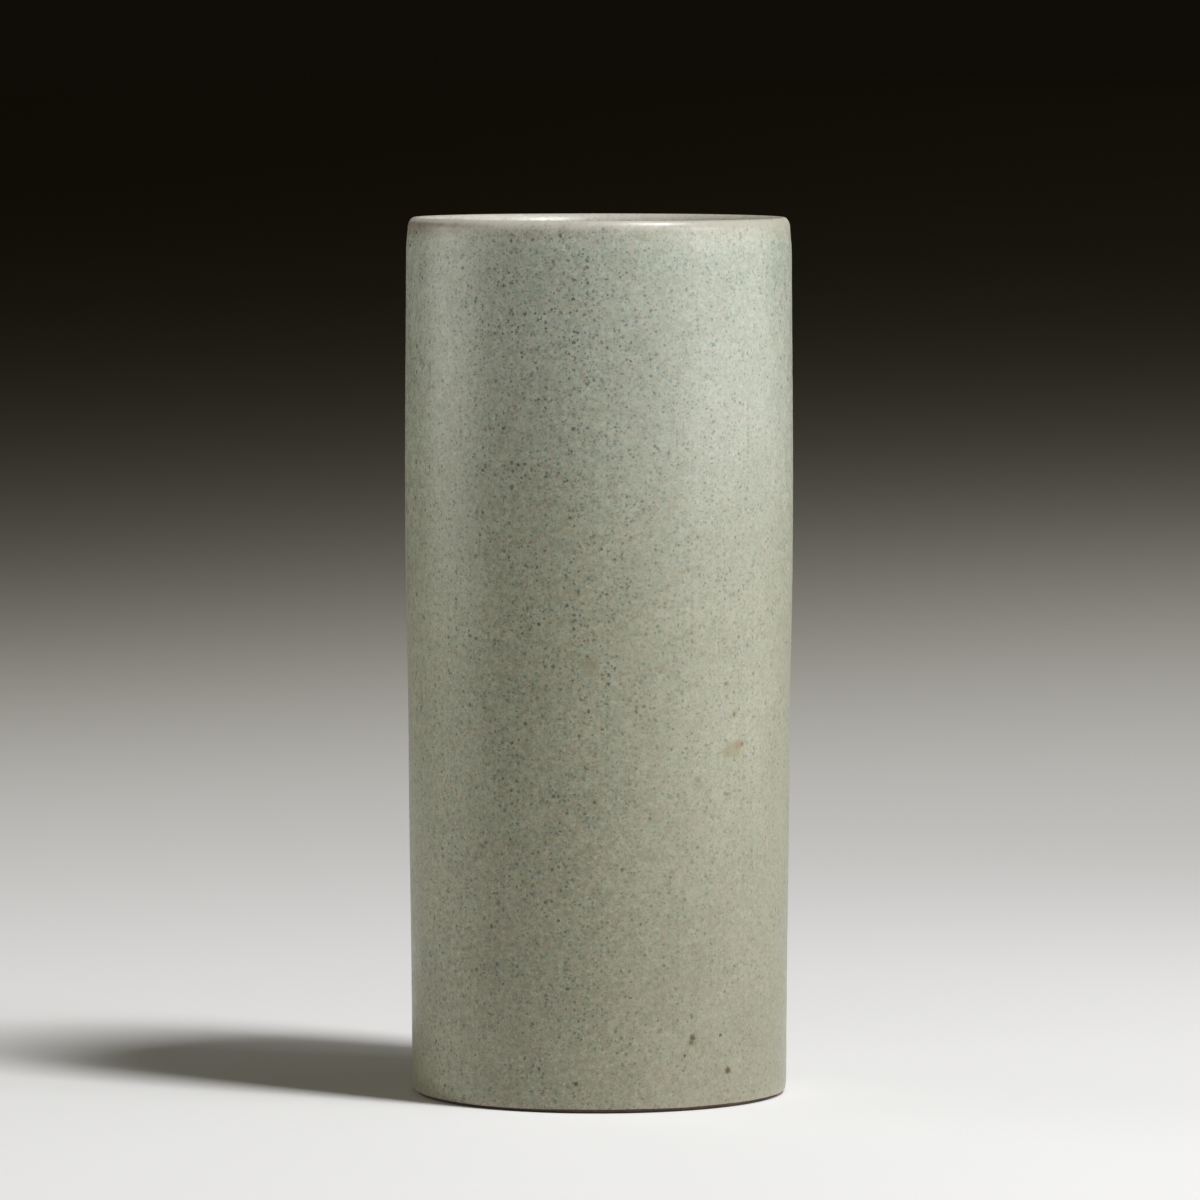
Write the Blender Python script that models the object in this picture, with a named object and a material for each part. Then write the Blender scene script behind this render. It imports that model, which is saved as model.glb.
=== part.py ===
"""A brush pot: a tall thrown stoneware cylinder, glazed outside and lined with glaze inside.

The pot is three turned pieces on one axis: the clay body, the glaze coat outside it, and the liner
glaze in its well. The origin is the centre of the plane that the foot stands on, +Z runs up the axis,
and every length is in metres.
"""

import math

import bmesh
import bpy

# Outer form, over the glaze
HEIGHT = 0.180
FOOT_RADIUS = 0.0385
BELLY_RADIUS = 0.0399
BELLY_HEIGHT = 0.126
RIM_RADIUS = 0.0396

# Lip: two quarter ellipses that meet at the crest
LIP_OUTER_WIDTH = 0.0015
LIP_OUTER_HEIGHT = 0.0022
LIP_INNER_WIDTH = 0.0024
LIP_INNER_HEIGHT = 0.0030

# Well that holds the brushes, over the liner glaze
WELL_FLOOR_HEIGHT = 0.0075
WELL_FLOOR_RADIUS = 0.0336
WELL_CORNER_RADIUS = 0.009

# Foot: rounded outside, with a shallow recess turned into the underside
FOOT_ROUND_WIDTH = 0.0007
FOOT_ROUND_HEIGHT = 0.0035
FOOT_RING_WIDTH = 0.0060
FOOT_EDGE_BREAK = 0.0004
RECESS_DEPTH = 0.0020
RECESS_SLOPE_WIDTH = 0.0012

# Glaze: it thins out to a narrow edge just above the foot
GLAZE_THICKNESS = 0.00050
GLAZE_EDGE_THICKNESS = 0.00015
GLAZE_LINE_HEIGHT = 0.0006
GLAZE_FADE_HEIGHT = 0.0029
BOND_GAP = 0.0001

# Facets
SEGMENTS = 64
SHARP_ANGLE = math.radians(35)
WELD_DISTANCE = 1e-6

# Heights and radii that follow from the dimensions above
LIP_OUTER_START = HEIGHT - LIP_OUTER_HEIGHT
LIP_INNER_END = HEIGHT - LIP_INNER_HEIGHT
CREST_RADIUS = RIM_RADIUS - LIP_OUTER_WIDTH
WELL_RIM_RADIUS = CREST_RADIUS - LIP_INNER_WIDTH
WELL_CORNER_TOP = WELL_FLOOR_HEIGHT + WELL_CORNER_RADIUS


def smooth(t):
    """Ease from 0 to 1 with level ends."""
    t = min(max(t, 0.0), 1.0)
    return t * t * (3 - 2 * t)


def blend(start, end, t):
    return start + (end - start) * t


def levels(start, end, steps):
    """Evenly spaced values from start to end, both included."""
    return [blend(start, end, i / steps) for i in range(steps + 1)]


def quarter(centre, half_width, half_height, start, end, steps):
    """Points on an ellipse about centre, between two angles in degrees, both included."""
    angles = [math.radians(a) for a in levels(start, end, steps)]
    return [
        (centre[0] + half_width * math.cos(a), centre[1] + half_height * math.sin(a))
        for a in angles
    ]


def wall_radius(z):
    """Radius of the finished outside: it swells to the belly, then closes in a little to the rim."""
    if z < BELLY_HEIGHT:
        radius = blend(FOOT_RADIUS, BELLY_RADIUS, smooth(z / BELLY_HEIGHT))
    else:
        above_belly = (z - BELLY_HEIGHT) / (LIP_OUTER_START - BELLY_HEIGHT)
        radius = blend(BELLY_RADIUS, RIM_RADIUS, smooth(above_belly))
    below_round = max(0.0, 1 - z / FOOT_ROUND_HEIGHT)
    return radius - FOOT_ROUND_WIDTH * (1 - math.sqrt(1 - below_round**2))


def well_radius(z):
    """Radius of the finished inside, which narrows towards the floor."""
    share = (z - WELL_CORNER_TOP) / (LIP_INNER_END - WELL_CORNER_TOP)
    return blend(WELL_FLOOR_RADIUS, WELL_RIM_RADIUS, share)


def coat_thickness(z):
    """Thickness of the outer glaze at a height."""
    share = smooth((z - GLAZE_LINE_HEIGHT) / GLAZE_FADE_HEIGHT)
    return blend(GLAZE_EDGE_THICKNESS, GLAZE_THICKNESS, share)


def outside(share, gap=0.0):
    """Upward outline of the outside, from the glaze line to the lip. share 0 is the glaze's face, and
    share 1 with a gap is the clay under it."""
    heights = (
        levels(GLAZE_LINE_HEIGHT, FOOT_ROUND_HEIGHT, 4)
        + levels(FOOT_ROUND_HEIGHT, BELLY_HEIGHT, 6)[1:]
        + levels(BELLY_HEIGHT, LIP_OUTER_START, 4)[1:]
    )
    return [(wall_radius(z) - share * coat_thickness(z) - gap, z) for z in heights]


def lip(depth):
    """Outline over the lip, from its outer start to its inner end, at a depth under the glaze."""
    outer = quarter(
        (CREST_RADIUS, LIP_OUTER_START), LIP_OUTER_WIDTH - depth, LIP_OUTER_HEIGHT - depth, 0, 90, 5
    )
    inner = quarter(
        (CREST_RADIUS, LIP_INNER_END), LIP_INNER_WIDTH - depth, LIP_INNER_HEIGHT - depth, 90, 180, 5
    )
    return outer[1:] + inner[1:]


def well(depth, top):
    """Downward outline of the well, from a height on its wall to the middle of its floor."""
    wall = [(well_radius(z) + depth, z) for z in levels(top, WELL_CORNER_TOP, 5)]
    centre = (WELL_FLOOR_RADIUS - WELL_CORNER_RADIUS, WELL_CORNER_TOP)
    corner = quarter(centre, WELL_CORNER_RADIUS + depth, WELL_CORNER_RADIUS + depth, 0, -90, 6)
    return wall + corner[1:] + [(0.0, WELL_FLOOR_HEIGHT - depth)]


def underside():
    """Outline of the bare underside, from the middle of its recess out to the foot's outer edge."""
    edge_radius = wall_radius(0) - coat_thickness(0) - BOND_GAP
    ring_radius = edge_radius - FOOT_RING_WIDTH
    return [
        (0.0, RECESS_DEPTH),
        (ring_radius - RECESS_SLOPE_WIDTH, RECESS_DEPTH),
        (ring_radius, FOOT_EDGE_BREAK),
        (ring_radius + FOOT_EDGE_BREAK, 0.0),
        (edge_radius, 0.0),
    ]


def clay_outline():
    depth = GLAZE_THICKNESS + BOND_GAP
    return underside() + outside(1, BOND_GAP) + lip(depth) + well(depth, LIP_INNER_END)[1:]


def outer_glaze_outline():
    face = outside(0) + lip(0)
    back = outside(1) + lip(GLAZE_THICKNESS)
    return face + back[::-1]


def inner_glaze_outline():
    top = LIP_INNER_END - BOND_GAP
    return well(0, top) + well(GLAZE_THICKNESS, top)[::-1]


def surface(name, colour, roughness):
    """A plain material: colour is linear RGB."""
    material = bpy.data.materials.new(name)
    material.use_nodes = True
    shader = material.node_tree.nodes["Principled BSDF"]
    shader.inputs["Base Color"].default_value = (*colour, 1.0)
    shader.inputs["Roughness"].default_value = roughness
    shader.inputs["Metallic"].default_value = 0.0
    return material


def turn(name, outline, material, parent):
    """Turn a closed outline of (radius, height) points about the axis into a solid. Neighbours that
    both lie on the axis need no edge between them."""
    mesh = bpy.data.meshes.new(name)
    work = bmesh.new()
    ring = [work.verts.new((radius, 0.0, z)) for radius, z in outline]
    pairs = zip(ring, ring[1:] + ring[:1])
    edges = [work.edges.new((a, b)) for a, b in pairs if a.co.x > 0 or b.co.x > 0]
    bmesh.ops.spin(
        work,
        geom=ring + edges,
        cent=(0, 0, 0),
        axis=(0, 0, 1),
        angle=2 * math.pi,
        steps=SEGMENTS,
        use_merge=True,
    )
    bmesh.ops.remove_doubles(work, verts=work.verts, dist=WELD_DISTANCE)
    bmesh.ops.recalc_face_normals(work, faces=work.faces)
    work.to_mesh(mesh)
    work.free()
    mesh.shade_smooth()
    mesh.set_sharp_from_angle(angle=SHARP_ANGLE)
    mesh.materials.append(material)
    piece = bpy.data.objects.new(name, mesh)
    bpy.context.collection.objects.link(piece)
    piece.parent = parent
    return piece


def build():
    for old in list(bpy.data.objects):
        bpy.data.objects.remove(old, do_unlink=True)
    pot = bpy.data.objects.new("brush_pot", None)
    bpy.context.collection.objects.link(pot)
    clay = surface("bare_stoneware", (0.070, 0.048, 0.036), 0.85)
    celadon = surface("speckled_celadon", (0.330, 0.350, 0.270), 0.42)
    liner = surface("liner_glaze", (0.400, 0.385, 0.315), 0.38)
    turn("clay_body", clay_outline(), clay, pot)
    turn("outer_glaze", outer_glaze_outline(), celadon, pot)
    turn("inner_glaze", inner_glaze_outline(), liner, pot)


build()
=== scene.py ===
"""The look of a thrown stoneware brush pot with a speckled celadon glaze.

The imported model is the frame: it gives the pot's height, its radii and its glaze line. Three turned
meshes stand for its three nodes: the outer glaze with the lip, the liner glaze of the well, and the clay
body, which shows only at the foot and underneath.

Shapes are in metres, and the patterns in the materials count millimetres. An azimuth is measured round
the axis from the side that faces the camera, positive towards +X: in radians in the outlines, and in
degrees in the tables of spots and lamps. Colours are linear RGB.
"""

import math

import bmesh
import bpy
import numpy as np
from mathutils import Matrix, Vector


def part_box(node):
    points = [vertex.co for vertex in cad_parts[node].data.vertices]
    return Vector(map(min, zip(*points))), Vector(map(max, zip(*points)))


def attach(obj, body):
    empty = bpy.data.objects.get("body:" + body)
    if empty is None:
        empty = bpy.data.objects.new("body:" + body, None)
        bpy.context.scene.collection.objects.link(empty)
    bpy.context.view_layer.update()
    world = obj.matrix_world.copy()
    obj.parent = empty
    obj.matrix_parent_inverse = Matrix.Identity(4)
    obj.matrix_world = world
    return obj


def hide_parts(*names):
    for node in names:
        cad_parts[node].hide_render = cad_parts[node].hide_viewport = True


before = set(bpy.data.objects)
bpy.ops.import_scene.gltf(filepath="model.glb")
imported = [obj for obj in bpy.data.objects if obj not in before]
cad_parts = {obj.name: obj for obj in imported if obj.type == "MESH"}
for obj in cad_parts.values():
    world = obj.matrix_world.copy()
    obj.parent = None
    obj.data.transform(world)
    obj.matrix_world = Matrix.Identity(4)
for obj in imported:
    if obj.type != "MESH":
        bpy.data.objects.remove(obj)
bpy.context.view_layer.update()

MM = 0.001

# Sizes that the frame gives
coat_low, coat_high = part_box("outer_glaze")
liner_low, liner_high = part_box("inner_glaze")
HEIGHT = coat_high.z
BELLY_RADIUS = coat_high.x
GLAZE_LINE = coat_low.z
LINER_TOP = liner_high.z

# Outer form, as steps from the belly and the rim
BELLY_HEIGHT = 0.70 * HEIGHT
FOOT_RADIUS = BELLY_RADIUS - 1.3 * MM
RIM_RADIUS = BELLY_RADIUS - 0.3 * MM
LIP_OUTER_WIDTH = 1.5 * MM
LIP_OUTER_HEIGHT = 2.2 * MM
LIP_INNER_WIDTH = 2.4 * MM
LIP_INNER_HEIGHT = 3.0 * MM
LIP_OUTER_START = HEIGHT - LIP_OUTER_HEIGHT
LIP_INNER_END = HEIGHT - LIP_INNER_HEIGHT
CREST_RADIUS = RIM_RADIUS - LIP_OUTER_WIDTH
WELL_RIM_RADIUS = CREST_RADIUS - LIP_INNER_WIDTH

# Glaze, and the clay under it
GLAZE_THICKNESS = 0.50 * MM
GLAZE_EDGE_THICKNESS = 0.15 * MM
GLAZE_FADE_HEIGHT = 2.9 * MM
BOND_GAP = 0.1 * MM
CLAY_DEPTH = GLAZE_THICKNESS + BOND_GAP

# Well
WELL_FLOOR_HEIGHT = liner_low.z + GLAZE_THICKNESS
WELL_CORNER_RADIUS = 9.0 * MM
WELL_CORNER_TOP = WELL_FLOOR_HEIGHT + WELL_CORNER_RADIUS
WELL_FLOOR_RADIUS = WELL_RIM_RADIUS - 2.1 * MM

# Foot
FOOT_ROUND_WIDTH = 0.7 * MM
FOOT_ROUND_HEIGHT = 3.5 * MM
FOOT_RING_WIDTH = 6.0 * MM
FOOT_EDGE_BREAK = 0.4 * MM
FOOT_SOFT_EDGE = 0.25 * MM
RECESS_DEPTH = 2.0 * MM
RECESS_SLOPE_WIDTH = 1.2 * MM

# Traces of the hand on the outside, all of them inside the true turned form
OVALITY = 0.06 * MM
OVALITY_PHASE = 0.9
LEAN = 0.16 * MM
WAIST_DEPTH = 0.20 * MM
WAIST_HEIGHT = 0.45 * HEIGHT
WAIST_REACH = 0.09 * HEIGHT
SHOULDER_DEPTH = 0.42 * MM
SHOULDER_START = HEIGHT - 7.5 * MM
OUTER_RIPPLE = 0.02 * MM
OUTER_RIPPLE_PITCH = 9.0 * MM
CREST_WAVER = 0.05 * MM
GLAZE_LINE_WAVER = 0.35 * MM

# Traces of the hand in the well and underneath
THROWING_RING = 0.20 * MM
THROWING_PITCH = 7.5 * MM
FLOOR_SPIRAL = 0.14 * MM
FLOOR_SPIRAL_PITCH = 4.2 * MM
TRIMMING_RING = 0.05 * MM
TRIMMING_PITCH = 1.1 * MM
TREAD_RING = 0.3 * TRIMMING_RING

# Waves that add up to a hand's unevenness: share, number of waves in a turn, and phase
UNEVEN_WAVES = ((0.50, 1, 0.7), (0.28, 2, 2.1), (0.14, 5, 4.0), (0.08, 11, 1.3))

# Facets: the longest step along each stretch of an outline, and the steps round each of its curves
SEGMENTS = 288
COAT_FOOT_STEP = 0.15 * MM
COAT_WALL_STEP = 1.5 * MM
BONDED_FOOT_STEP = 0.45 * MM
BONDED_WALL_STEP = 4.5 * MM
CLAY_FOOT_STEP = 0.15 * MM
CLAY_WALL_STEP = 6.0 * MM
LINER_STEP = 1.2 * MM
HIDDEN_WELL_STEP = 4.0 * MM
UNDERSIDE_STEP = 0.35 * MM
COAT_LIP_STEPS = 14
BONDED_LIP_STEPS = 7
CLAY_LIP_STEPS = 6
WELL_CORNER_STEPS = 14
RECESS_SLOPE_STEPS = 8
FOOT_EDGE_STEPS = 6

# Edges sharper than this are creases, and points nearer the axis than this lie on it
SHARP_ANGLE = math.radians(40)
ON_AXIS = 1e-7

# Camera: where it stands, how far down it looks, and its lens
CAMERA_DISTANCE = 9.388 * HEIGHT
CAMERA_HEIGHT = 1.1893 * HEIGHT
CAMERA_PITCH = math.radians(3.8165)
CAMERA_LENS = 247.2
CAMERA_SENSOR = 36.0
CAMERA_SHIFT = 0.0006
CAMERA_NEAR = 0.05
CAMERA_FAR = 300.0


def smooth(t):
    """Ease from 0 to 1 with level ends."""
    t = np.clip(t, 0.0, 1.0)
    return t * t * (3 - 2 * t)


def blend(start, end, share):
    return start + (end - start) * share


def levels(start, end, step):
    """Evenly spaced values from start to end, both included, at most a step apart."""
    count = max(1, math.ceil(abs(end - start) / step))
    return np.linspace(start, end, count + 1)


# Outlines. Each takes a column of azimuths, in radians, and gives a pair of arrays, of radii and of
# heights, with a row for each azimuth and a column for each point of the outline.


def unevenness(azimuth):
    """An irregular wave between 0 and 1 that comes round once in a turn."""
    waves = sum(share * np.sin(count * azimuth + phase) for share, count, phase in UNEVEN_WAVES)
    return (waves + 1) / 2


def hand_offset(azimuth, z):
    """How far the thrown wall stays inside the true form."""
    oval = OVALITY * (1 + np.cos(2 * azimuth + OVALITY_PHASE)) / 2
    lean = LEAN * (z / HEIGHT) * (1 + np.sin(azimuth)) / 2
    waist = WAIST_DEPTH * np.exp(-(((z - WAIST_HEIGHT) / WAIST_REACH) ** 2))
    shoulder = SHOULDER_DEPTH * smooth((z - SHOULDER_START) / (HEIGHT - SHOULDER_START))
    turns = 2 * math.pi * z / OUTER_RIPPLE_PITCH - azimuth
    return oval + lean + waist + shoulder + OUTER_RIPPLE * (1 + np.sin(turns)) / 2


def wall_radius(azimuth, z):
    """The finished outside: it swells to the belly, then closes in a little to the rim."""
    below = blend(FOOT_RADIUS, BELLY_RADIUS, smooth(z / BELLY_HEIGHT))
    rise = (z - BELLY_HEIGHT) / (LIP_OUTER_START - BELLY_HEIGHT)
    above = blend(BELLY_RADIUS, RIM_RADIUS, smooth(rise))
    tuck = np.clip(1 - z / FOOT_ROUND_HEIGHT, 0.0, 1.0)
    rounding = FOOT_ROUND_WIDTH * (1 - np.sqrt(1 - tuck**2))
    return np.where(z < BELLY_HEIGHT, below, above) - rounding - hand_offset(azimuth, z)


def coat_thickness(z):
    share = smooth((z - GLAZE_LINE) / GLAZE_FADE_HEIGHT)
    return blend(GLAZE_EDGE_THICKNESS, GLAZE_THICKNESS, share)


def well_radius(azimuth, z):
    """The finished inside, with the spiral ridge that the fingers left."""
    share = (z - WELL_CORNER_TOP) / (LIP_INNER_END - WELL_CORNER_TOP)
    turns = 2 * math.pi * z / THROWING_PITCH - azimuth
    fade = smooth((LIP_INNER_END - z) / (2 * THROWING_PITCH))
    fade = fade * smooth((z - WELL_CORNER_TOP) / THROWING_PITCH)
    ridge = THROWING_RING * fade * (1 + np.sin(turns)) / 2
    return blend(WELL_FLOOR_RADIUS, WELL_RIM_RADIUS, share) + ridge


def lip(azimuth, depth, steps):
    """Over the lip, from its outer start to its inner end, at a depth under the glaze."""
    rise = np.radians(np.linspace(0, 90, steps + 1))[1:]
    fall = np.radians(np.linspace(90, 180, steps + 1))[1:]
    outer_radius = CREST_RADIUS + (LIP_OUTER_WIDTH - depth) * np.cos(rise)
    outer_height = LIP_OUTER_START + (LIP_OUTER_HEIGHT - depth) * np.sin(rise)
    inner_radius = CREST_RADIUS + (LIP_INNER_WIDTH - depth) * np.cos(fall)
    inner_height = LIP_INNER_END + (LIP_INNER_HEIGHT - depth) * np.sin(fall)
    radius = np.concatenate([outer_radius, inner_radius])
    height = np.concatenate([outer_height, inner_height])
    fade = smooth((radius - WELL_RIM_RADIUS) / (RIM_RADIUS - WELL_RIM_RADIUS))
    radius = radius - fade * hand_offset(azimuth, LIP_OUTER_START)
    height = np.broadcast_to(height, radius.shape)
    lift = smooth((height - LIP_INNER_END) / LIP_INNER_HEIGHT)
    return radius, height - CREST_WAVER * unevenness(azimuth) * lift


def well(azimuth, depth, top, step):
    """Down the wall of the well, round its corner and over its floor to the axis."""
    flat = np.ones_like(azimuth)
    down = levels(top, WELL_CORNER_TOP, step) * flat
    wall = well_radius(azimuth, down) + depth, down

    centre = WELL_FLOOR_RADIUS - WELL_CORNER_RADIUS
    reach = WELL_CORNER_RADIUS + depth
    arc = np.radians(np.linspace(0, -90, WELL_CORNER_STEPS + 1))[1:]
    corner = (centre + reach * np.cos(arc)) * flat, (WELL_CORNER_TOP + reach * np.sin(arc)) * flat

    across = levels(centre, 0.0, step / 2)[1:]
    turns = 2 * math.pi * across / FLOOR_SPIRAL_PITCH + azimuth
    fade = smooth((centre - across) / FLOOR_SPIRAL_PITCH) * smooth(across / FLOOR_SPIRAL_PITCH)
    spiral = FLOOR_SPIRAL * fade * np.sin(turns)
    floor = across * flat, WELL_FLOOR_HEIGHT - depth + spiral
    return joined(wall, corner, floor)


def underside(azimuth):
    """From the middle of the recess out over the foot ring to the foot's rounded outer edge."""
    flat = np.ones_like(azimuth)
    edge_radius = wall_radius(azimuth, np.zeros((1, 1))) - coat_thickness(0.0) - BOND_GAP
    ring_radius = FOOT_RADIUS - FOOT_ROUND_WIDTH - GLAZE_EDGE_THICKNESS - FOOT_RING_WIDTH

    across = levels(0.0, ring_radius - RECESS_SLOPE_WIDTH, UNDERSIDE_STEP)
    turns = 2 * math.pi * across / TRIMMING_PITCH + azimuth
    rings = TRIMMING_RING * np.sin(turns) * smooth(across / TRIMMING_PITCH)
    recess = across * flat, RECESS_DEPTH + rings

    slope = np.linspace(0.0, 1.0, RECESS_SLOPE_STEPS + 1)[1:]
    slope_radius = ring_radius - RECESS_SLOPE_WIDTH * (1 - slope)
    slope_height = blend(RECESS_DEPTH, FOOT_EDGE_BREAK, smooth(slope))
    side = slope_radius * flat, slope_height * flat

    tread = levels(FOOT_EDGE_BREAK, FOOT_RING_WIDTH - FOOT_SOFT_EDGE, UNDERSIDE_STEP)
    wear = TREAD_RING * (1 + np.sin(2 * math.pi * tread / TRIMMING_PITCH))
    wear = wear * smooth((tread - FOOT_EDGE_BREAK) / MM) * smooth((FOOT_RING_WIDTH - tread) / MM)
    ring = blend(ring_radius, edge_radius, tread / FOOT_RING_WIDTH), wear * flat

    arc = np.radians(np.linspace(-90, 0, FOOT_EDGE_STEPS + 1))
    edge_height = FOOT_SOFT_EDGE * (1 + np.sin(arc)) * flat
    edge = edge_radius - FOOT_SOFT_EDGE * (1 - np.cos(arc)), edge_height
    return joined(recess, side, ring, edge)


def joined(*stretches):
    """Stretches of (radius, height) one after the other."""
    return tuple(np.concatenate([stretch[i] for stretch in stretches], axis=1) for i in (0, 1))


def backwards(stretch):
    return stretch[0][:, ::-1], stretch[1][:, ::-1]


def coat_heights(azimuth, foot_step, wall_step):
    """Heights up the outer glaze. Its lower edge wavers, and the waver fades out above the foot."""
    foot = levels(GLAZE_LINE, FOOT_ROUND_HEIGHT, foot_step)
    wall = levels(FOOT_ROUND_HEIGHT, LIP_OUTER_START, wall_step)[1:]
    heights = np.concatenate([foot, wall])
    fade = smooth((2 * FOOT_ROUND_HEIGHT - heights) / (2 * FOOT_ROUND_HEIGHT))
    return heights + GLAZE_LINE_WAVER * unevenness(3 * azimuth) * fade


def coat_outline(azimuth):
    """The outer glaze: up its face, over the lip, and back down its bonded side."""
    face_heights = coat_heights(azimuth, COAT_FOOT_STEP, COAT_WALL_STEP)
    face = wall_radius(azimuth, face_heights), face_heights
    face_lip = lip(azimuth, 0.0, COAT_LIP_STEPS)
    back_heights = coat_heights(azimuth, BONDED_FOOT_STEP, BONDED_WALL_STEP)
    back = wall_radius(azimuth, back_heights) - coat_thickness(back_heights), back_heights
    back_lip = lip(azimuth, GLAZE_THICKNESS, BONDED_LIP_STEPS)
    return joined(face, face_lip, backwards(joined(back, back_lip)))


def liner_outline(azimuth):
    """The liner glaze: down the well's face to the axis, and back up its bonded side."""
    face = well(azimuth, 0.0, LINER_TOP, LINER_STEP)
    back = well(azimuth, GLAZE_THICKNESS, LINER_TOP, HIDDEN_WELL_STEP)
    return joined(face, backwards(back))


def body_outline(azimuth):
    """The clay body: the underside, the outside and lip under the glaze, and down the well."""
    foot = levels(FOOT_SOFT_EDGE, 2 * FOOT_ROUND_HEIGHT, CLAY_FOOT_STEP)[1:]
    wall = levels(2 * FOOT_ROUND_HEIGHT, LIP_OUTER_START, CLAY_WALL_STEP)[1:]
    heights = np.concatenate([foot, wall]) * np.ones_like(azimuth)
    outside = wall_radius(azimuth, heights) - coat_thickness(heights) - BOND_GAP, heights
    clay_lip = lip(azimuth, CLAY_DEPTH, CLAY_LIP_STEPS)
    inside = well(azimuth, CLAY_DEPTH, LIP_INNER_END, HIDDEN_WELL_STEP)
    return joined(underside(azimuth), outside, clay_lip, inside)


def turn(name, outline, node, material):
    """Turn an outline about the axis into a closed mesh that stands for a node of the frame. Outline
    points that lie on the axis become one vertex."""
    azimuth = np.linspace(0, 2 * math.pi, SEGMENTS, endpoint=False)[:, None]
    radius, height = outline(azimuth)
    on_axis = np.all(radius < ON_AXIS, axis=0)
    points = np.stack([radius * np.sin(azimuth), -radius * np.cos(azimuth), height], axis=-1)
    work = bmesh.new()
    columns = []
    for j in range(radius.shape[1]):
        if on_axis[j]:
            middle = work.verts.new(points[:, j].mean(axis=0))
            columns.append([middle] * SEGMENTS)
        else:
            columns.append([work.verts.new(point) for point in points[:, j]])
    for a, b in zip(columns, columns[1:] + columns[:1]):
        for i in range(SEGMENTS):
            corners = list(dict.fromkeys([a[i], a[i - 1], b[i - 1], b[i]]))
            if len(corners) > 2:
                work.faces.new(corners)
    bmesh.ops.recalc_face_normals(work, faces=work.faces)
    mesh = bpy.data.meshes.new(name)
    work.to_mesh(mesh)
    work.free()
    mesh.shade_smooth()
    mesh.set_sharp_from_angle(angle=SHARP_ANGLE)
    mesh.materials.append(material)
    piece = bpy.data.objects.new(name, mesh)
    bpy.context.collection.objects.link(piece)
    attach(piece, "root")
    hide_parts(node)


# Materials. Every length in them is in millimetres.

# Noises: size, detail, roughness and seed
CLOUD = (18, 3, 0.55, 1)
COOL = (1.3, 2, 0.6, 2)
WARM = (1.6, 2, 0.6, 3)
GRAIN = (0.55, 3, 0.8, 4)
BROAD = (2.6, 2, 0.5, 5)
CROWD = (6, 3, 0.6, 6)
DRIFT = (2.8, 3, 0.6, 7)
TOAST = (9, 3, 0.6, 8)
GRIT = (0.5, 3, 0.7, 9)
MOTTLE = (1.2, 2, 0.6, 10)

# The values of a noise between which its mask rises
MIDDLE_BAND = (0.30, 0.70)
COOL_BAND = (0.38, 0.64)
WARM_BAND = (0.40, 0.64)
CROWD_BAND = (0.32, 0.62)
TOAST_BAND = (0.40, 0.70)
SAND_BAND = (0.35, 0.70)

# Mottling of the glaze: tints, and swings in lightness with the lowest value of each
COOL_TINT = (0.93, 1.005, 1.04)
WARM_TINT = (1.06, 0.975, 0.96)
CLOUD_SWING = (0.30, 0.86)
BROAD_SWING = (0.10, 0.95)
MOTTLE_SWING = (0.24, 0.88)
GRAIN_SWING = 0.30
GRAIN_DROP = 0.07
BLUE_POWER = 1.12

# Painted sheen: on the side of the pot that faces the key light, the glaze is painted paler and its
# specks fainter, standing in for the light's sheen: the direction of that side, the distances along it
# between which the sheen rises, and the share of the specks that still shows there
KEY_SHEEN_SIDE = (0.80, -0.60, 0.0)
SHEEN_BAND = (16, 38)
SHEEN_SPECK_SHARE = 0.60

# The painted sheen also makes the glaze paler and bluer. That rises from its share at the foot and falls
# to nothing at the lip, between these heights
SHEEN_TINT = (1.13, 1.12, 1.195)
SHEEN_RISE = (20, 90)
SHEEN_FALL = (125, 176)
SHEEN_AT_FOOT = 0.25

# Specks: spacing, smallest and largest radius, share of the places that hold one, and seed
PALE_SPECKS = (0.90, 0.18, 0.42, 0.80, 7)
FINE_SPECKS = (0.60, 0.14, 0.32, 0.90, 1)
MEDIUM_SPECKS = (0.95, 0.16, 0.46, 0.90, 5)
RUST_SPECKS = (2.60, 0.20, 0.55, 0.55, 11)
BOLD_SPECKS = (1.40, 0.20, 0.56, 0.75, 2)
GROG = (1.6, 0.15, 0.45, 0.35, 3)
CLAY_FLECKS = (2.4, 0.15, 0.35, 0.4, 4)

# How strongly each kind covers what is under it, and its colour
PALE_COVER = 0.42
FINE_COVER = 0.70
MEDIUM_COVER = 0.95
RUST_COVER = 0.60
BOLD_COVER = 0.95
GROG_COVER = 0.6
FLECK_COVER = 0.8
PALE_COLOUR = (0.52, 0.52, 0.42)
FINE_COLOUR = (0.120, 0.140, 0.110)
MEDIUM_COLOUR = (0.070, 0.095, 0.084)
RUST_COLOUR = (0.170, 0.080, 0.050)
GROG_COLOUR = (0.210, 0.160, 0.115)
FLECK_COLOUR = (0.018, 0.013, 0.011)

# The boldest specks turn bluer between these heights
BOLD_TURN = (60, 170)
BOLD_COLOUR_LOW = (0.034, 0.052, 0.048)
BOLD_COLOUR_HIGH = (0.028, 0.050, 0.074)

# The medium and bold specks thin out to this share between the places where they crowd
CROWD_LEAST = 0.40

# Ragged outlines of the specks and spots, the share of their radius that is at full strength, and the
# strength of the faintest speck
JITTER_SIZE = 0.40
JITTER_REACH = 0.85
SPECK_CORE = 0.45
SPOT_CORE = 0.25
SPECK_FAINTEST = 0.4

# How far apart the seeds place their patterns
NOISE_STRIDE = (71.3, 37.9, 53.1)
SPECK_STRIDE = (13.7, 29.3, 41.9)
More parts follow.
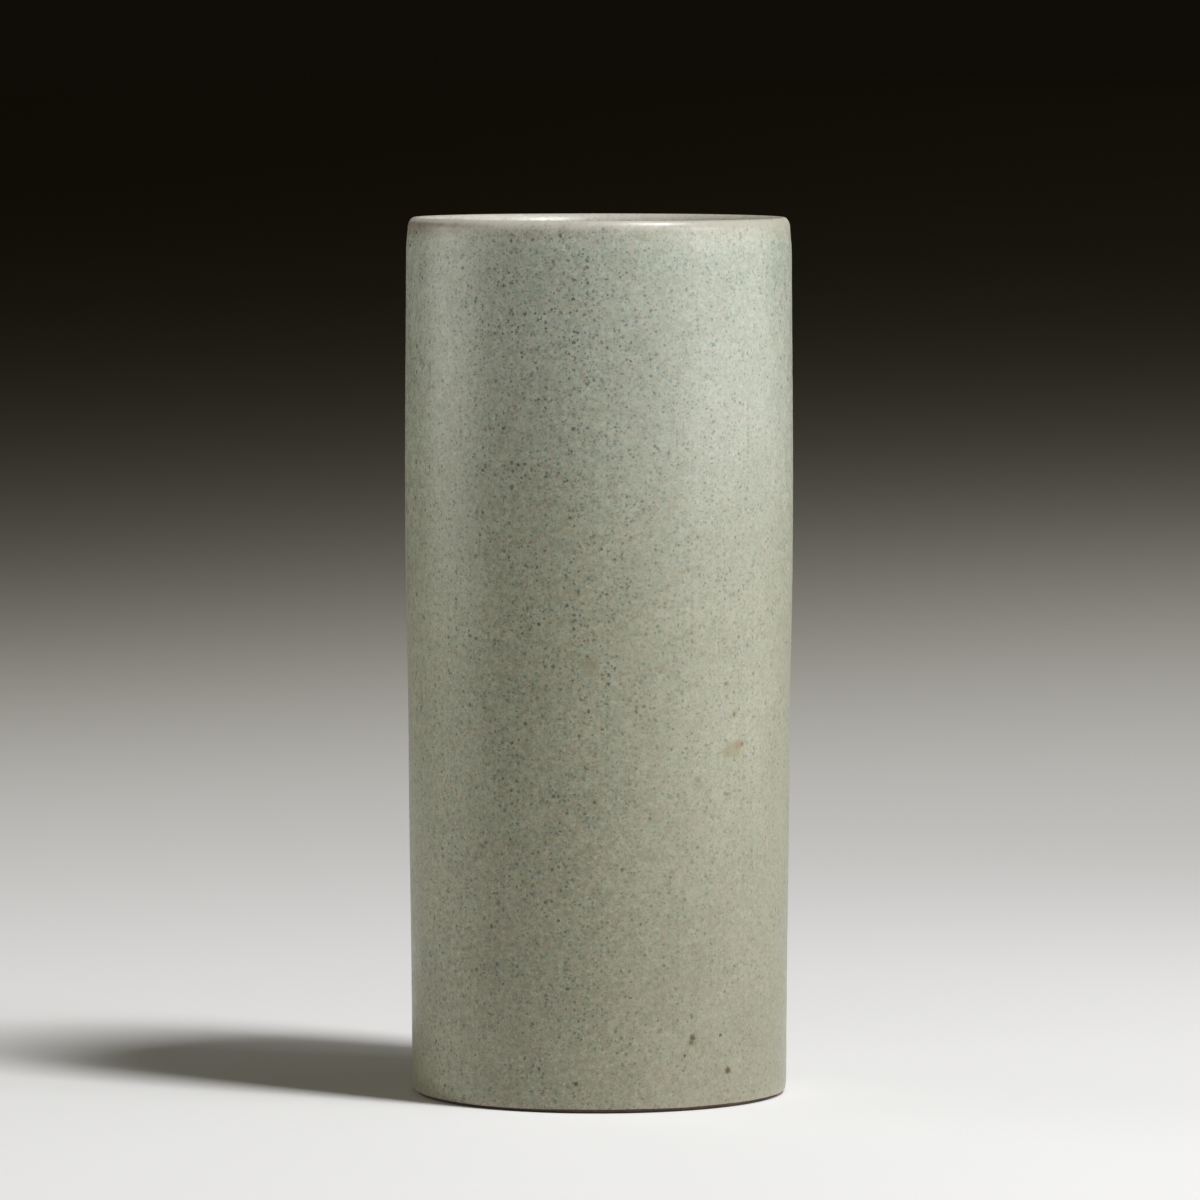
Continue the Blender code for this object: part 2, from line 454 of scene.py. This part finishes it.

# Glaze colours: up the wall, near the lip, at the foot and in the well. Up the wall they turn paler
# towards the top, partly the glaze's own colour and partly painted light from above
FOOT_GLAZE = (0.269, 0.264, 0.182)
BELLY_GLAZE = (0.304, 0.310, 0.217)
UPPER_GLAZE = (0.404, 0.435, 0.353)
WARM_GLAZE = (0.490, 0.468, 0.370)
THIN_GLAZE = (0.610, 0.590, 0.515)
# Painted shade: the lip's thin glaze on the side that faces the key light
SHADED_THIN_GLAZE = (0.470, 0.458, 0.385)
BREAKING_GLAZE = (0.270, 0.215, 0.165)
FOOT_EDGE_GLAZE = (0.335, 0.285, 0.220)
LINER_GLAZE = (0.440, 0.422, 0.350)

# Where the wall's colour changes, as shares of the height
LOWER_CHANGE = (0.0, 0.55)
UPPER_CHANGE = (0.50, 1.05)

# Where the glaze changes at the lip, as depths below its top, and at the foot, as heights
WARMING = (6.5, 2.0)
THINNING = (3.0, 0.8)
BREAKING = (4.4, 2.2)
BREAKING_END = (1.2, 0.4)
FOOT_EDGE = (0.6, 2.4)
WARM_SHARE = 0.35
THIN_SHARE = 0.9
FOOT_EDGE_SHARE = 0.7

# The drift noise moves these changes: its width, and the mean that is taken off it
DRIFT_REACH = 1.4
DRIFT_MEAN = 0.7

# The glaze breaks to brown mostly at the left: the places along X between which the breaking falls, and
# its shares there
BREAKING_SIDE = (-37, -20)
BREAKING_MOST = 0.75
BREAKING_LEAST = 0.08

# Painted shade: the thin glaze of the lip is darker between these distances towards the side that faces
# the key light
LIP_SHADE_BAND = (28, 38)

# Where the glaze is thin, it hides this share of the pattern and is a little glossier
THIN_HIDES = 0.75
THIN_GLOSS = 0.03

# Roughness: its swing and its lowest value
GLAZE_ROUGHNESS = (0.12, 0.29)
LINER_ROUGHNESS = (0.10, 0.27)
CLAY_ROUGHNESS = (0.15, 0.78)

# Relief under the highlights: its reach, and the parts that the finest patterns play in it
GLAZE_RELIEF = 0.02
CLAY_RELIEF = 0.08
GRAIN_RELIEF = 0.5
GROG_RELIEF = 0.8

# The liner's pattern, next to the outer glaze's
LINER_STRENGTH = 0.7

# Clay colours, and the lightness of its sand
DARK_CLAY = (0.060, 0.041, 0.031)
TOASTED_CLAY = (0.105, 0.064, 0.040)
SAND_DARKEST = 0.75
SAND_PALEST = 1.3

# Iron spots and tan stains in the outer glaze: azimuth, height, radius, strength and colour
IRON_SPOTS = (
    (42.6, 7.7, 1.60, 0.35, (0.200, 0.160, 0.090)),
    (42.4, 7.6, 1.00, 1.00, (0.085, 0.048, 0.018)),
    (29.0, 14.0, 1.80, 0.40, (0.180, 0.165, 0.085)),
    (29.2, 14.9, 0.90, 0.90, (0.070, 0.058, 0.018)),
    (28.7, 13.9, 0.75, 0.80, (0.090, 0.078, 0.028)),
    (26.5, 11.3, 0.55, 0.85, (0.030, 0.036, 0.030)),
    (39.5, 15.0, 0.55, 0.85, (0.030, 0.030, 0.028)),
    (18.4, 16.6, 0.80, 0.60, (0.180, 0.135, 0.070)),
    (-7.0, 6.1, 0.65, 0.95, (0.010, 0.014, 0.014)),
    (43.8, 73.0, 3.00, 0.58, (0.285, 0.258, 0.140)),
    (41.0, 72.4, 1.80, 0.50, (0.255, 0.250, 0.125)),
    (46.2, 74.0, 1.70, 0.55, (0.290, 0.180, 0.090)),
    (47.6, 73.9, 0.70, 0.75, (0.160, 0.090, 0.050)),
    (44.0, 80.1, 1.30, 0.50, (0.240, 0.220, 0.100)),
    (44.0, 80.1, 0.50, 0.85, (0.090, 0.060, 0.030)),
    (30.6, 67.2, 0.80, 0.60, (0.150, 0.160, 0.060)),
    (40.9, 86.4, 0.75, 0.60, (0.170, 0.130, 0.070)),
    (49.4, 93.8, 0.85, 0.55, (0.110, 0.135, 0.190)),
    (-2.4, 90.5, 2.30, 0.45, (0.250, 0.210, 0.125)),
)

# Sockets of a colour mix, which the node numbers past the ones for its other kinds
MIX_SHARE = 0
MIX_FIRST = 6
MIX_SECOND = 7
MIX_RESULT = 2


class Pattern:
    """One Principled material, and short calls that add the shader nodes driving it. Its place is in
    millimetres in the object's own frame."""

    def __init__(self, name):
        self.material = bpy.data.materials.new(name)
        self.material.use_nodes = True
        self.nodes = self.material.node_tree.nodes
        self.links = self.material.node_tree.links
        self.shader = self.nodes["Principled BSDF"]
        metres = self.nodes.new("ShaderNodeTexCoord").outputs["Object"]
        self.place = self.vector("SCALE", metres, scale=1 / MM)
        split = self.add("ShaderNodeSeparateXYZ", {0: self.place})
        self.side = split.outputs["X"]
        self.height = split.outputs["Z"]
        jitter = self.add("ShaderNodeTexNoise", {"Vector": self.place, "Scale": 1 / JITTER_SIZE})
        centred = self.vector("SUBTRACT", jitter.outputs["Color"], (0.5, 0.5, 0.5))
        offset = self.vector("SCALE", centred, scale=JITTER_REACH)
        self.ragged = self.vector("ADD", self.place, offset)

    def add(self, kind, inputs, **settings):
        """A node with these settings. Each input is a value, or another node's output to link."""
        node = self.nodes.new(kind)
        for setting, value in settings.items():
            setattr(node, setting, value)
        for socket, value in inputs.items():
            self.feed(node.inputs[socket], value)
        return node

    def feed(self, socket, value):
        if isinstance(value, bpy.types.NodeSocket):
            self.links.new(value, socket)
        else:
            socket.default_value = value

    def vector(self, operation, a, b=(0, 0, 0), scale=1.0):
        node = self.add("ShaderNodeVectorMath", {0: a, 1: b, 3: scale}, operation=operation)
        scalar = operation in ("LENGTH", "DISTANCE", "DOT_PRODUCT")
        return node.outputs["Value" if scalar else "Vector"]

    def math(self, operation, a, b=0.0, c=0.0):
        return self.add("ShaderNodeMath", {0: a, 1: b, 2: c}, operation=operation).outputs[0]

    def times(self, a, b):
        return self.math("MULTIPLY", a, b)

    def spread(self, value, swing, lowest):
        """The value, from 0 to 1, spread over a swing that starts at the lowest."""
        return self.math("MULTIPLY_ADD", value, swing, lowest)

    def ease(self, value, start, end, low=0.0, high=1.0):
        """Low before start and high after end, with an eased step between."""
        inputs = {"Value": value, 1: start, 2: end, 3: low, 4: high}
        return self.add("ShaderNodeMapRange", inputs, interpolation_type="SMOOTHSTEP").outputs[0]

    def noise(self, size, detail, roughness, seed):
        """Noise whose largest features are about this size, mostly between 0.25 and 0.75."""
        place = self.vector("ADD", self.place, [seed * stride for stride in NOISE_STRIDE])
        inputs = {"Vector": place, "Scale": 1 / size, "Detail": detail, "Roughness": roughness}
        return self.add("ShaderNodeTexNoise", inputs).outputs["Fac"]

    def mix(self, share, a, b, blend_type="MIX"):
        inputs = {MIX_SHARE: share, MIX_FIRST: opaque(a), MIX_SECOND: opaque(b)}
        node = self.add("ShaderNodeMix", inputs, data_type="RGBA", blend_type=blend_type)
        return node.outputs[MIX_RESULT]

    def rgb(self, red, green, blue):
        return self.add("ShaderNodeCombineColor", {0: red, 1: green, 2: blue}).outputs[0]

    def specks(self, spacing, smallest, largest, share, seed):
        """Mask of soft ragged specks. About one speck sits in each cube of this spacing, but only a
        share of them shows, each with its own radius and strength."""
        place = self.vector("ADD", self.ragged, [seed * stride for stride in SPECK_STRIDE])
        cell = self.add("ShaderNodeTexVoronoi", {"Vector": place, "Scale": 1 / spacing})
        distance = self.times(cell.outputs["Distance"], spacing)
        chance = self.add("ShaderNodeSeparateColor", {0: cell.outputs["Color"]})
        sizes = {"Value": chance.outputs[0], 1: 1 - share, 2: 1.0, 3: smallest, 4: largest}
        radius = self.add("ShaderNodeMapRange", sizes).outputs[0]
        shown = self.math("GREATER_THAN", chance.outputs[0], 1 - share)
        core = self.ease(distance, self.times(radius, SPECK_CORE), radius, 1.0, 0.0)
        strength = self.spread(chance.outputs[1], 1 - SPECK_FAINTEST, SPECK_FAINTEST)
        return self.times(self.times(core, shown), strength)

    def spot(self, centre, radius):
        """Mask of one soft ragged spot about a point."""
        distance = self.vector("DISTANCE", self.ragged, centre)
        return self.ease(distance, SPOT_CORE * radius, radius, 1.0, 0.0)

    def finish(self, colour, roughness, relief, reach):
        """Drive the shader, with the relief standing up to this reach, and give the material."""
        bump = self.add("ShaderNodeBump", {"Height": relief, "Distance": reach * MM})
        self.feed(self.shader.inputs["Base Color"], colour)
        self.feed(self.shader.inputs["Roughness"], roughness)
        self.feed(self.shader.inputs["Normal"], bump.outputs["Normal"])
        return self.material


def opaque(colour):
    return colour if isinstance(colour, bpy.types.NodeSocket) else (*colour, 1.0)


def on_wall(azimuth, z):
    """The point on the outside wall at an azimuth in degrees and a height, in millimetres."""
    turn_angle = math.radians(azimuth)
    radius = float(wall_radius(np.array(turn_angle), np.array(z * MM)))
    return Vector((radius * math.sin(turn_angle), -radius * math.cos(turn_angle), z * MM)) / MM


def towards_key_sheen(pattern):
    """How far a place lies towards the side of the pot that faces the key light, where sheen is painted.
    """
    return pattern.vector("DOT_PRODUCT", pattern.place, KEY_SHEEN_SIDE)


def painted_sheen(pattern, base, sheen):
    """The base colour, paler and bluer where the key light's sheen is painted in."""
    rise = pattern.ease(pattern.height, *SHEEN_RISE, SHEEN_AT_FOOT, 1.0)
    fall = pattern.ease(pattern.height, *SHEEN_FALL, 1.0, 0.0)
    share = pattern.times(pattern.times(sheen, rise), fall)
    return pattern.mix(share, base, pattern.mix(1.0, base, SHEEN_TINT, "MULTIPLY"))


def mottled(pattern, base, strength, sheen_and_thin_veil):
    """The base colour with its tints and its lightness varied. Also gives the relief of the mottling,
    and the broadest part of it."""
    cool = pattern.ease(pattern.noise(*COOL), *COOL_BAND)
    warm = pattern.ease(pattern.noise(*WARM), *WARM_BAND)
    # Painted sheen and thin glaze weaken the tints and the swing in lightness.
    tinting = pattern.times(sheen_and_thin_veil, strength)
    colour = pattern.mix(pattern.times(cool, tinting), base, COOL_TINT, "MULTIPLY")
    colour = pattern.mix(pattern.times(warm, tinting), colour, WARM_TINT, "MULTIPLY")

    grain = pattern.ease(pattern.noise(*GRAIN), *MIDDLE_BAND)
    mottle = pattern.ease(pattern.noise(*MOTTLE), *MIDDLE_BAND)
    broad = pattern.ease(pattern.noise(*BROAD), *MIDDLE_BAND)
    value = pattern.spread(grain, GRAIN_SWING * strength, 1 - GRAIN_DROP * strength)
    value = pattern.times(value, pattern.spread(broad, *BROAD_SWING))
    value = pattern.times(value, pattern.spread(mottle, *MOTTLE_SWING))
    value = pattern.math("MULTIPLY_ADD", pattern.math("SUBTRACT", value, 1.0), sheen_and_thin_veil, 1.0)
    value = pattern.times(value, pattern.spread(pattern.noise(*CLOUD), *CLOUD_SWING))
    shade = pattern.rgb(value, value, pattern.math("POWER", value, BLUE_POWER))
    relief = pattern.math("MULTIPLY_ADD", grain, GRAIN_RELIEF, broad)
    return pattern.mix(1.0, colour, shade, "MULTIPLY"), relief, broad


def specked(pattern, colour, strength, sheen_and_thin_veil):
    """The colour with the specks laid over it, the palest first and the boldest last."""
    # Every layer of specks fades where painted sheen and thin glaze hide it.
    crowd = pattern.ease(pattern.noise(*CROWD), *CROWD_BAND, CROWD_LEAST, 1.0)
    crowd = pattern.times(crowd, sheen_and_thin_veil)
    bold_turn = pattern.ease(pattern.height, *BOLD_TURN)
    bold_colour = pattern.mix(bold_turn, BOLD_COLOUR_LOW, BOLD_COLOUR_HIGH)
    layers = (
        (PALE_SPECKS, sheen_and_thin_veil, PALE_COVER * strength, PALE_COLOUR),
        (FINE_SPECKS, sheen_and_thin_veil, FINE_COVER * strength, FINE_COLOUR),
        (MEDIUM_SPECKS, crowd, MEDIUM_COVER * strength, MEDIUM_COLOUR),
        (RUST_SPECKS, sheen_and_thin_veil, RUST_COVER * strength, RUST_COLOUR),
        (BOLD_SPECKS, crowd, BOLD_COVER, bold_colour),
    )
    for shape, presence, cover, tint in layers:
        mask = pattern.times(pattern.specks(*shape), presence)
        colour = pattern.mix(pattern.times(mask, cover), colour, tint)
    return colour


def speckled(pattern, base, strength=1.0, shown=1.0):
    """Lay painted sheen, mottling and specks over a base colour, with this strength and the share of
    them that shows. Also gives the relief, and the broadest part of the mottling."""
    # Painted sheen: paler, bluer glaze with fainter specks on the side that faces the key light.
    sheen = pattern.ease(towards_key_sheen(pattern), *SHEEN_BAND)
    sheen_and_thin_veil = pattern.times(pattern.math("MULTIPLY_ADD", sheen, SHEEN_SPECK_SHARE - 1, 1.0), shown)
    colour = painted_sheen(pattern, base, sheen)
    colour, relief, broad = mottled(pattern, colour, strength, sheen_and_thin_veil)
    return specked(pattern, colour, strength, sheen_and_thin_veil), relief, broad


def wall_colour(pattern):
    """Cooler at the top and olive lower down, as the glaze changes, and paler towards the top, partly
    painted light from above.
    """
    top = HEIGHT / MM
    lower = pattern.ease(pattern.height, LOWER_CHANGE[0] * top, LOWER_CHANGE[1] * top)
    upper = pattern.ease(pattern.height, UPPER_CHANGE[0] * top, UPPER_CHANGE[1] * top)
    return pattern.mix(upper, pattern.mix(lower, FOOT_GLAZE, BELLY_GLAZE), UPPER_GLAZE)


def below_top(pattern, edge, change, low=0.0, high=1.0):
    """An eased step between two depths below the top of the lip."""
    top = HEIGHT / MM
    return pattern.ease(edge, top - change[0], top - change[1], low, high)


def celadon_material():
    """Satin grey-green glaze. It is thin and buff at the lip and the foot, and breaks to brown on the
    outer curve of the lip."""
    pattern = Pattern("speckled_celadon")
    edge = pattern.math("SUBTRACT", pattern.height, DRIFT_MEAN)
    edge = pattern.math("MULTIPLY_ADD", pattern.noise(*DRIFT), DRIFT_REACH, edge)
    warm = below_top(pattern, edge, WARMING, 0.0, WARM_SHARE)
    thin = below_top(pattern, edge, THINNING)
    breaking = pattern.times(
        below_top(pattern, edge, BREAKING),
        below_top(pattern, edge, BREAKING_END, 1.0, 0.0),
    )
    breaking_side = pattern.ease(pattern.side, *BREAKING_SIDE, BREAKING_MOST, BREAKING_LEAST)
    foot = pattern.ease(edge, *FOOT_EDGE, 1.0, 0.0)
    # Painted shade: the thin glaze of the lip darkens towards the side that faces the key light.
    lip_shade = pattern.ease(towards_key_sheen(pattern), *LIP_SHADE_BAND)
    buff = pattern.mix(lip_shade, THIN_GLAZE, SHADED_THIN_GLAZE)

    base = pattern.mix(warm, wall_colour(pattern), WARM_GLAZE)
    base = pattern.mix(pattern.times(thin, THIN_SHARE), base, buff)
    base = pattern.mix(pattern.times(breaking, breaking_side), base, BREAKING_GLAZE)
    base = pattern.mix(pattern.times(foot, FOOT_EDGE_SHARE), base, FOOT_EDGE_GLAZE)
    shown = pattern.math("MULTIPLY_ADD", thin, -THIN_HIDES, 1.0)
    colour, relief, broad = speckled(pattern, base, shown=shown)
    for azimuth, z, radius, share, tint in IRON_SPOTS:
        mask = pattern.spot(on_wall(azimuth, z), radius)
        colour = pattern.mix(pattern.times(mask, share), colour, tint)
    roughness = pattern.spread(broad, *GLAZE_ROUGHNESS)
    roughness = pattern.math("SUBTRACT", roughness, pattern.times(thin, THIN_GLOSS))
    return pattern.finish(colour, roughness, relief, GLAZE_RELIEF)


def liner_material():
    """Paler glaze of the well, with weaker specks."""
    pattern = Pattern("liner_glaze")
    colour, relief, broad = speckled(pattern, LINER_GLAZE, LINER_STRENGTH)
    roughness = pattern.spread(broad, *LINER_ROUGHNESS)
    return pattern.finish(colour, roughness, relief, GLAZE_RELIEF)


def stoneware_material():
    """Bare dark brown clay with grog and iron flecks, toasted to orange in places."""
    pattern = Pattern("bare_stoneware")
    toast = pattern.ease(pattern.noise(*TOAST), *TOAST_BAND)
    grit = pattern.noise(*GRIT)
    sand = pattern.ease(grit, *SAND_BAND, SAND_DARKEST, SAND_PALEST)
    base = pattern.mix(toast, DARK_CLAY, TOASTED_CLAY)
    colour = pattern.mix(1.0, base, pattern.rgb(sand, sand, sand), "MULTIPLY")
    grog = pattern.specks(*GROG)
    flecks = pattern.specks(*CLAY_FLECKS)
    colour = pattern.mix(pattern.times(grog, GROG_COVER), colour, GROG_COLOUR)
    colour = pattern.mix(pattern.times(flecks, FLECK_COVER), colour, FLECK_COLOUR)
    relief = pattern.math("MULTIPLY_ADD", grog, GROG_RELIEF, grit)
    roughness = pattern.spread(grit, *CLAY_ROUGHNESS)
    return pattern.finish(colour, roughness, relief, CLAY_RELIEF)


# Studio, in metres

FLOOR_RINGS = (0.3, 1.0, 4.0, 16.0, 80.0)
FLOOR_SEGMENTS = 64
FLOOR_ALBEDO = (0.878, 0.878, 0.884)
FLOOR_ROUGHNESS = 0.7
BLACK = (0.0, 0.0, 0.0)

# The distances between which the lit floor gives way to the sweep's own glow
NEAR_FLOOR = 0.20
FAR_FLOOR = 0.62

# The sweep's brightness as the eye reads it, from the pale floor down into the dark
FALLOFF_DISTANCE = 1.63
FALLOFF_POWER = 2.4
DARK_LEVEL = 0.054
PALE_LEVEL = 0.74
FADE_START = 8.0

# It is brighter towards +X: by how much, at which bearing as the camera sees it, and the distances
# between which that sets in
SIDE_SLOPE = 0.18
SIDE_BEARING = 0.12
SIDE_BAND = (0.3, 2.0)

# Its dark end has a warm cast, which fades out between these levels
WARM_CAST = (0.012, 0.0, -0.027)
CAST_BAND = (0.5, 0.95)

# The display's curve, which has a short toe
DISPLAY_TOE = 0.055
DISPLAY_GAMMA = 2.4

# The dark beyond the sweep, and the dim light that comes from it
WORLD_SEEN = (0.0045, 0.0038, 0.0017)
WORLD_AMBIENT = (0.028, 0.021, 0.010)

# Softboxes: name, azimuth, elevation, distance, width, height, power in watts, and colour
WHITE = (1.0, 1.0, 1.0)
WARM_WHITE = (1.0, 1.0, 0.89)
SOFTBOXES = (
    ("key", 53, 60, 2.40, 0.32, 0.66, 45.8, WHITE),
    ("right_mid", 62, 18, 1.00, 0.45, 0.40, 4.1, WHITE),
    ("right_low", 95, 6, 1.40, 1.20, 0.42, 3.1, WHITE),
    ("left_low", -95, 8, 1.00, 0.75, 0.36, 2.9, WARM_WHITE),
)


def sweep_level(pattern, place, distance):
    """The sweep's brightness at a place, as the eye reads it."""
    ratio = pattern.math("POWER", pattern.math("DIVIDE", distance, FALLOFF_DISTANCE), FALLOFF_POWER)
    level = pattern.math("DIVIDE", PALE_LEVEL, pattern.math("ADD", ratio, 1.0))
    level = pattern.math("ADD", level, DARK_LEVEL)
    sideways = pattern.add("ShaderNodeSeparateXYZ", {0: place}).outputs["X"]
    bearing = pattern.math("DIVIDE", sideways, pattern.math("ADD", distance, CAMERA_DISTANCE))
    side = pattern.ease(bearing, -SIDE_BEARING, SIDE_BEARING, -SIDE_SLOPE, SIDE_SLOPE)
    slope = pattern.times(side, pattern.ease(distance, *SIDE_BAND))
    return pattern.times(level, pattern.math("ADD", slope, 1.0))


def sweep_glow(pattern, place, distance):
    """The light of the sweep at a place, which fades into the dark of the world."""
    level = sweep_level(pattern, place, distance)
    cast = pattern.vector("SCALE", WARM_CAST, scale=pattern.ease(level, *CAST_BAND, 1.0, 0.0))
    neutral = pattern.add("ShaderNodeCombineXYZ", {0: level, 1: level, 2: level}).outputs[0]
    seen = pattern.vector("ADD", pattern.vector("ADD", neutral, cast), (DISPLAY_TOE,) * 3)
    seen = pattern.vector("SCALE", seen, scale=1 / (1 + DISPLAY_TOE))
    glow = pattern.add("ShaderNodeGamma", {0: seen, 1: DISPLAY_GAMMA}).outputs[0]
    return pattern.mix(pattern.ease(distance, FADE_START, FLOOR_RINGS[-1]), glow, WORLD_SEEN)


def floor_material():
    """A pale floor that the softboxes light near the pot. Further out it is the sweep falling into
    the dark, drawn as its own glow because no lamp reaches it."""
    pattern = Pattern("studio_floor")
    shader = pattern.shader
    place = pattern.vector("SCALE", pattern.place, scale=MM)
    distance = pattern.vector("LENGTH", place)
    far = pattern.ease(distance, NEAR_FLOOR, FAR_FLOOR)
    pattern.feed(shader.inputs["Base Color"], pattern.mix(far, FLOOR_ALBEDO, BLACK))
    pattern.feed(shader.inputs["Roughness"], FLOOR_ROUGHNESS)
    pattern.feed(shader.inputs["Specular IOR Level"], 0.0)
    pattern.feed(shader.inputs["Emission Color"], sweep_glow(pattern, place, distance))
    pattern.feed(shader.inputs["Emission Strength"], far)
    pattern.material.cycles.emission_sampling = "NONE"
    return pattern.material


def add_floor():
    """A disc of rings that widen with the distance."""
    work = bmesh.new()
    bmesh.ops.create_circle(work, cap_ends=True, segments=FLOOR_SEGMENTS, radius=FLOOR_RINGS[0])
    for radius in FLOOR_RINGS[1:]:
        rim = [edge for edge in work.edges if edge.is_boundary]
        grown = bmesh.ops.extrude_edge_only(work, edges=rim)["geom"]
        for vertex in grown:
            if isinstance(vertex, bmesh.types.BMVert):
                vertex.co = vertex.co.normalized() * radius
    bmesh.ops.recalc_face_normals(work, faces=work.faces)
    mesh = bpy.data.meshes.new("studio_floor")
    work.to_mesh(mesh)
    work.free()
    mesh.materials.append(floor_material())
    floor = bpy.data.objects.new("studio_floor", mesh)
    bpy.context.collection.objects.link(floor)


def add_softbox(name, azimuth, elevation, distance, width, height, power, colour):
    """A soft rectangular lamp that faces the middle of the pot and isn't seen by the camera."""
    lamp = bpy.data.lights.new(name, "AREA")
    lamp.color = colour
    lamp.shape = "RECTANGLE"
    lamp.size = width
    lamp.size_y = height
    lamp.energy = power
    turn_angle = math.radians(azimuth)
    rise = math.tan(math.radians(elevation))
    towards = Vector((math.sin(turn_angle), -math.cos(turn_angle), rise)).normalized()
    holder = bpy.data.objects.new(name, lamp)
    holder.location = Vector((0, 0, HEIGHT / 2)) + towards * distance
    holder.rotation_euler = towards.to_track_quat("Z", "Y").to_euler()
    holder.visible_camera = False
    bpy.context.collection.objects.link(holder)


def add_world():
    """The dark round the studio. The camera sees one colour in it, and another one lights the scene."""
    world = bpy.data.worlds.new("studio")
    world.use_nodes = True
    tree = world.node_tree
    rays = tree.nodes.new("ShaderNodeLightPath")
    mix = tree.nodes.new("ShaderNodeMix")
    mix.data_type = "RGBA"
    mix.inputs[MIX_FIRST].default_value = opaque(WORLD_AMBIENT)
    mix.inputs[MIX_SECOND].default_value = opaque(WORLD_SEEN)
    tree.links.new(rays.outputs["Is Camera Ray"], mix.inputs[MIX_SHARE])
    tree.links.new(mix.outputs[MIX_RESULT], tree.nodes["Background"].inputs["Color"])
    bpy.context.scene.world = world


def add_camera():
    lens = bpy.data.cameras.new("camera")
    lens.lens = CAMERA_LENS
    lens.sensor_width = CAMERA_SENSOR
    lens.shift_x = CAMERA_SHIFT
    lens.clip_start = CAMERA_NEAR
    lens.clip_end = CAMERA_FAR
    camera = bpy.data.objects.new("camera", lens)
    camera.location = (0.0, -CAMERA_DISTANCE, CAMERA_HEIGHT)
    camera.rotation_euler = (math.pi / 2 - CAMERA_PITCH, 0.0, 0.0)
    bpy.context.collection.objects.link(camera)
    bpy.context.scene.camera = camera


turn("celadon_coat", coat_outline, "outer_glaze", celadon_material())
turn("liner_coat", liner_outline, "inner_glaze", liner_material())
turn("stoneware_body", body_outline, "clay_body", stoneware_material())
add_floor()
for softbox in SOFTBOXES:
    add_softbox(*softbox)
add_world()
add_camera()
bpy.context.scene.view_settings.view_transform = "Standard"
